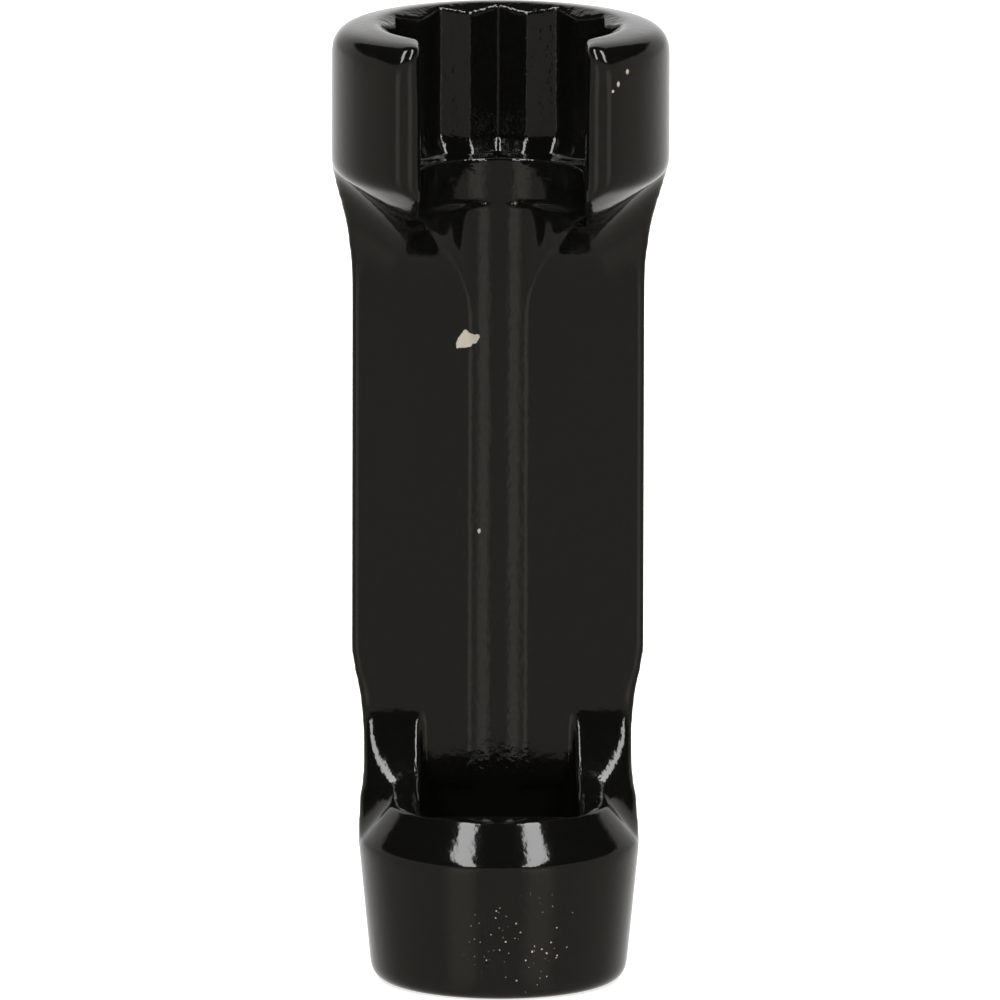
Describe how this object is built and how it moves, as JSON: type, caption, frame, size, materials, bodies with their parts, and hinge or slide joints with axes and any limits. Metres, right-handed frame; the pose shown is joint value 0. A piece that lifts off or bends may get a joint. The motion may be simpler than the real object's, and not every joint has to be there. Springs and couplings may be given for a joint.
{
  "type": "injection line wrench",
  "caption": "Black slotted twelve-point socket on an open half-round shank, with a square drive collar, for union nuts on injection lines.",
  "frame": {"origin": "centre of the square drive hole, in the plane of the flat base of the collar", "axes": "+Z along the tool from the drive to the socket's mouth, -Y towards the open side of the slot, +X to the right seen from the open side"},
  "size_m": [0.0278, 0.0255, 0.08],
  "materials": {
    "coated_steel": "glossy black coating on forged steel"
  },
  "bodies": {
    "root": {"socket_head": "coated_steel", "neck": "coated_steel", "shank": "coated_steel", "left_arm": "coated_steel", "right_arm": "coated_steel", "drive_collar": "coated_steel"}
  },
  "joints": []
}
